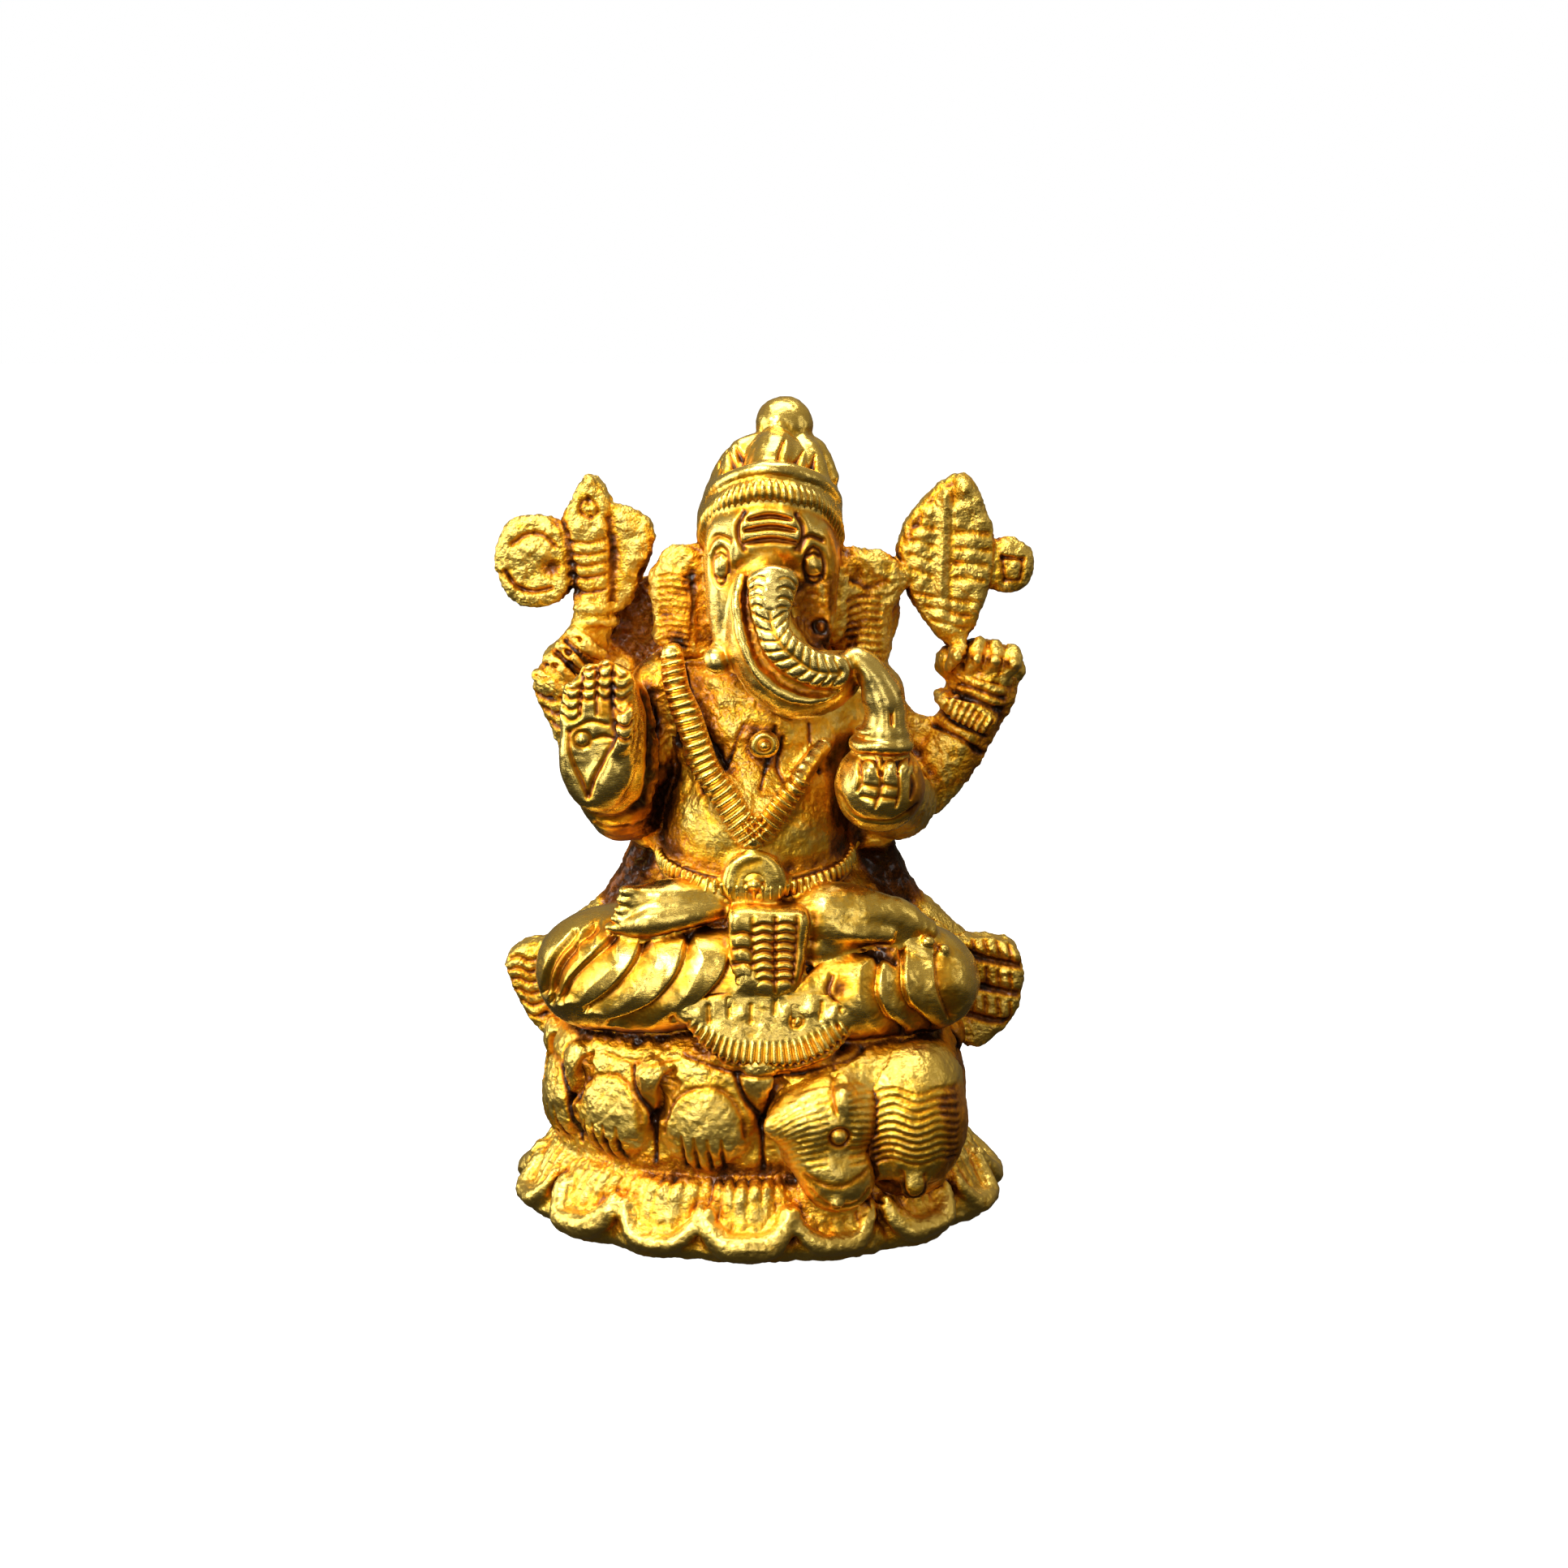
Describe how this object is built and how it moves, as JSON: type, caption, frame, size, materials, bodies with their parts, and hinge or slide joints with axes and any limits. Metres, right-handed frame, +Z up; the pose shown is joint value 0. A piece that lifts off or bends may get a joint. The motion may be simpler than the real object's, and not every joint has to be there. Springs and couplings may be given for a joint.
{
  "type": "hindu deity statue",
  "caption": "Small cast-brass statuette of a seated, elephant-headed deity holding its attributes, on a lotus seat with a mouse at the foot.",
  "frame": {"origin": "middle of the underside of the lotus base", "axes": "+Z up, the face looks along -Y, +X towards the deity's left hand (the viewer's right)"},
  "size_m": [0.0362, 0.025, 0.056],
  "materials": {
    "burnished_brass": "burnished by handling and brushing, with dark red-brown patina left in the chased lines",
    "rough_cast_brass": "granular as-cast skin, polished on the high spots only, dark patina in the hollows",
    "base_brass": "satin brushed petals and mouse, with orange-brown patina between them"
  },
  "bodies": {
    "root": {"crown_finial": "burnished_brass", "crown_ring": "burnished_brass", "crown_band": "burnished_brass", "trunk_strip": "burnished_brass", "sweet": "burnished_brass", "hand_ring": "burnished_brass", "trunk_tip": "burnished_brass", "trunk": "burnished_brass", "right_tusk": "burnished_brass", "left_tusk": "burnished_brass", "head": "burnished_brass", "crown_dome": "burnished_brass", "right_ear": "rough_cast_brass", "left_ear": "rough_cast_brass", "belt_buckle": "burnished_brass", "belt": "burnished_brass", "pendant": "burnished_brass", "garland": "burnished_brass", "right_thumb": "burnished_brass", "right_fingers": "burnished_brass", "right_palm": "burnished_brass", "left_fingers": "burnished_brass", "left_hand": "burnished_brass", "torso": "rough_cast_brass", "right_forearm": "burnished_brass", "left_forearm": "burnished_brass", "right_upper_arm": "burnished_brass", "left_upper_arm": "burnished_brass", "right_rear_bangle": "rough_cast_brass", "left_rear_bangle": "rough_cast_brass", "right_rear_hand": "rough_cast_brass", "left_rear_hand": "rough_cast_brass", "right_rear_arm": "rough_cast_brass", "left_rear_arm": "rough_cast_brass", "axe_shaft": "rough_cast_brass", "axe_blade": "rough_cast_brass", "axe_back": "rough_cast_brass", "noose": "rough_cast_brass", "noose_bud": "rough_cast_brass", "right_foot": "burnished_brass", "left_foot": "burnished_brass", "waist_pleats": "burnished_brass", "apron": "burnished_brass", "right_leg": "burnished_brass", "left_leg": "burnished_brass", "hips": "rough_cast_brass", "right_sash": "rough_cast_brass", "left_sash": "rough_cast_brass", "mouse_ear": "base_brass", "mouse_head": "base_brass", "mouse_paws": "base_brass", "mouse_foot": "base_brass", "mouse_body": "base_brass", "lotus_seat": "base_brass", "lotus_base": "base_brass"}
  },
  "joints": []
}
